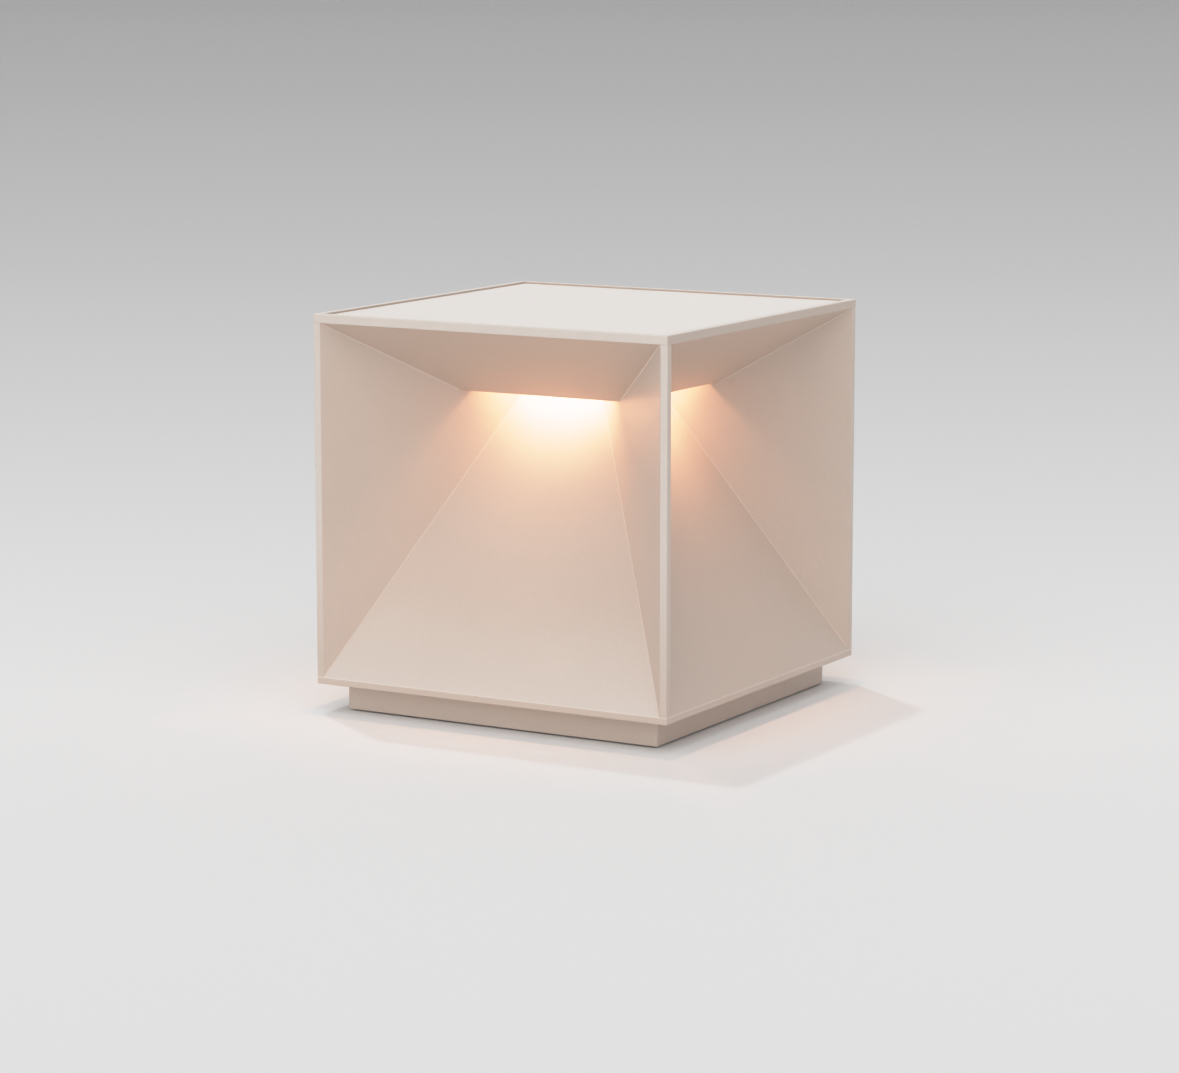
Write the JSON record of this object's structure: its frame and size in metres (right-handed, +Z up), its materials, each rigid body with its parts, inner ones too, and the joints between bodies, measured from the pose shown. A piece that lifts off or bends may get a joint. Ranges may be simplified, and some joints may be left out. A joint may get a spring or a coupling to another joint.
{
  "type": "rechargeable table lamp",
  "caption": "Cube-shaped cordless table lamp: a pyramid under an inverted canopy, parted by diagonal fins, throws warm light down four sides from a hidden slot above an inset plinth.",
  "frame": {"origin": "centre of the footprint, on the table", "axes": "+Z up, -Y the front side that faces the picture's left, +Y the side with the charging port"},
  "size_m": [0.15, 0.15, 0.1505],
  "materials": {
    "sand_paint": "fine matt powder coat",
    "pale_paint": "fine matt powder coat",
    "base_paint": "matt powder coat",
    "grey_silicone": "matt",
    "dark_rubber": "matt",
    "bare_aluminium": "milled",
    "white_board": "solder mask",
    "led_phosphor": "warm white light source",
    "opal": "opal, lit from behind",
    "white_plastic": "moulded",
    "steel": "plated",
    "sand_plastic": "moulded",
    "dark_plastic": "moulded",
    "clear_plastic": "clear",
    "green_board": "solder mask",
    "cell_wrap": "shrink wrap",
    "lead_insulation": "wire insulation"
  },
  "bodies": {
    "lamp": {"lower_body": "sand_paint", "canopy": "sand_paint", "fin_front_left": "sand_paint", "fin_front_right": "sand_paint", "fin_back_right": "sand_paint", "fin_back_left": "sand_paint", "plinth": "sand_paint", "top_cover": "pale_paint", "base_plate": "base_paint", "base_gasket": "grey_silicone", "cover_gasket": "grey_silicone", "diffuser_gasket": "grey_silicone", "foot_front_left": "dark_rubber", "foot_front_right": "dark_rubber", "foot_back_right": "dark_rubber", "foot_back_left": "dark_rubber", "led_carrier": "bare_aluminium", "led_board": "white_board", "led_chips": "led_phosphor", "diffuser": "opal", "diffuser_spacer": "white_plastic", "led_connector": "white_plastic", "board_connectors": "white_plastic", "base_screws": "steel", "cradle_screws": "steel", "carrier_screws": "steel", "neck_screws": "steel", "board_screws": "steel", "plinth_screws": "steel", "usb_socket": "steel", "flap_pin": "steel", "cell_links": "steel", "switch_body": "dark_plastic", "board_parts": "dark_plastic", "battery_cradle": "dark_plastic", "charge_light_pipe": "clear_plastic", "control_board": "green_board", "battery_cell_front": "cell_wrap", "battery_cell_back": "cell_wrap", "battery_leads": "lead_insulation", "led_leads": "lead_insulation"},
    "button": {"button_cap": "sand_plastic", "button_oring": "dark_rubber", "switch_plunger": "dark_plastic"},
    "flap": {"port_flap": "sand_plastic", "flap_seal": "grey_silicone"}
  },
  "joints": [
    {"name": "button_press", "type": "slide", "parent": "lamp", "child": "button", "axis": [0, -1, 0], "range_m": [0, 0.0008], "stiffness_N_per_m": 1500},
    {"name": "flap_hinge", "type": "hinge", "parent": "lamp", "child": "flap", "pos_m": [-0.0077, 0.0656, 0.0063], "axis": [0, 0, 1], "range_deg": [0, 90]}
  ]
}
